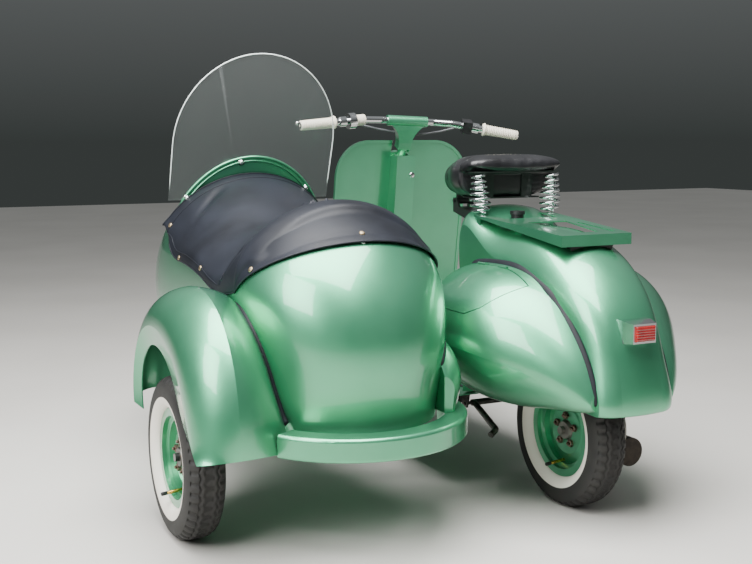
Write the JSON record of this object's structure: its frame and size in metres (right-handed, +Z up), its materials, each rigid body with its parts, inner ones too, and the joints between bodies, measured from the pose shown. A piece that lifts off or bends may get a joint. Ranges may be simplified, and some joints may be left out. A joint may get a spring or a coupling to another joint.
{
  "type": "sidecar motorcycle",
  "caption": "Motor scooter with a left-hand sidecar: pressed-steel body, sprung saddle, rear rack, covered sidecar seat and tall clear screen.",
  "frame": {"origin": "middle of the bounding box's base, on the ground", "axes": "+X to the rider's right, +Y forward, +Z up"},
  "size_m": [1.3978, 1.7286, 1.1765],
  "materials": {
    "paint": "glossy metallic pale green",
    "cover": "coated cloth, satin",
    "saddle": "smooth, satin",
    "tyre": "moulded rubber with a pale side band",
    "clear": "clear sheet",
    "lamp_glass": "fluted",
    "red_lens": "ribbed, glossy",
    "chrome": "polished",
    "spring_steel": "bright",
    "grip": "cream, matte",
    "black_plastic": "matte",
    "engine": "cast, dull",
    "steel": "bare, dull",
    "chassis": "satin black-green",
    "cable": "grey sheath"
  },
  "bodies": {
    "scooter": {"brake_pedal": "steel", "coaming": "paint", "column_cover": "paint", "engine_block": "engine", "floor_board": "paint", "fuel_cap": "black_plastic", "kick_lever": "steel", "left_cowl": "paint", "leg_shield": "paint", "luggage_rack": "paint", "rack_bracket": "chassis", "rear_body": "paint", "right_cowl": "paint", "saddle_bracket": "paint", "saddle_cover": "saddle", "saddle_frame": "steel", "saddle_springs": "spring_steel", "side_body": "paint", "side_bumper": "paint", "side_chassis": "chassis", "side_cover": "cover", "side_fairing": "paint", "side_fender": "paint", "silencer": "steel", "stand_brackets": "steel", "tail_lamp_housing": "chrome", "tail_lamp_lens": "red_lens", "windscreen": "clear"},
    "steering": {"fork": "paint", "front_mudguard": "paint", "headlamp_shell": "paint", "headlamp_lens": "lamp_glass", "handlebar_head": "paint", "handlebar_tube": "chrome", "grips": "grip", "levers": "chrome", "twist_control": "chrome", "twist_boot": "grip", "switch_box": "chrome", "control_cables": "cable"},
    "front_wheel": {"front_tyre": "tyre", "front_rim": "paint", "front_drum": "engine"},
    "rear_wheel": {"rear_tyre": "tyre", "rear_rim": "paint", "rear_drum": "engine"},
    "side_wheel": {"side_tyre": "tyre", "side_rim": "paint", "side_hub": "steel"},
    "stand": {"centre_stand": "steel"},
    "lid": {"toolbox_lid": "paint"}
  },
  "joints": [
    {"name": "steering_turn", "type": "hinge", "parent": "scooter", "child": "steering", "pos_m": [0.32878, 0.3456, 1.001], "axis": [0, -0.3502, 0.9367], "range_deg": [-38, 52]},
    {"name": "front_wheel_spin", "type": "hinge", "parent": "steering", "child": "front_wheel", "pos_m": [0.32805, 0.64064, 0.19502], "axis": [0.9925, -0.1142, -0.0427], "continuous": true},
    {"name": "rear_wheel_spin", "type": "hinge", "parent": "scooter", "child": "rear_wheel", "pos_m": [0.32878, -0.5644, 0.195], "axis": [1, 0, 0], "continuous": true},
    {"name": "side_wheel_spin", "type": "hinge", "parent": "scooter", "child": "side_wheel", "pos_m": [-0.63322, -0.3634, 0.195], "axis": [1, 0, 0], "continuous": true},
    {"name": "stand_fold", "type": "hinge", "parent": "scooter", "child": "stand", "pos_m": [0.32878, -0.2424, 0.208], "axis": [1, 0, 0], "range_deg": [0, 96]},
    {"name": "toolbox_lid_open", "type": "hinge", "parent": "scooter", "child": "lid", "pos_m": [0.16228, -0.5644, 0.6195], "axis": [0, 1, 0], "range_deg": [0, 70]}
  ]
}
